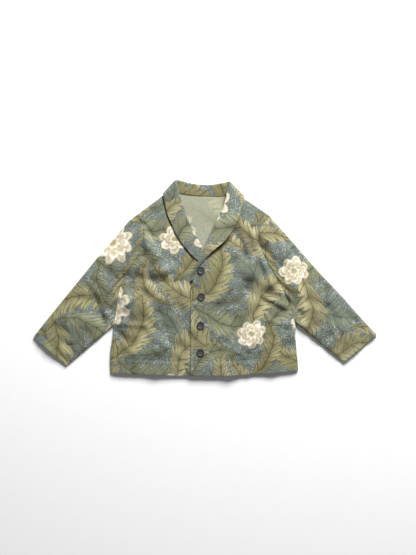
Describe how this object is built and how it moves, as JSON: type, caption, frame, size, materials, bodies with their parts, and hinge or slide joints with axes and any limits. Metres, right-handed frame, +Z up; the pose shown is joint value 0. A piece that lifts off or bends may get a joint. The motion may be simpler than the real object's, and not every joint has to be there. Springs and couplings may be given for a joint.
{
  "type": "shawl collar jacket",
  "caption": "Child's cotton jacket with a shawl collar and long sleeves, buttoned down the centre front and laid flat on its back.",
  "frame": {"origin": "on the surface the jacket lies on, under the middle of its bounding box", "axes": "+X to the wearer's left across the jacket, +Y to the collar, +Z up from the surface through the front"},
  "size_m": [0.6874, 0.3925, 0.0214],
  "materials": {
    "cloth": "printed cotton twill, matt",
    "button": "charcoal, satin"
  },
  "bodies": {
    "root": {"back": "cloth", "front_left": "cloth", "front_right": "cloth", "sleeve_left": "cloth", "sleeve_right": "cloth", "collar": "cloth", "button_1": "button", "button_2": "button", "button_3": "button", "button_4": "button"}
  },
  "joints": []
}
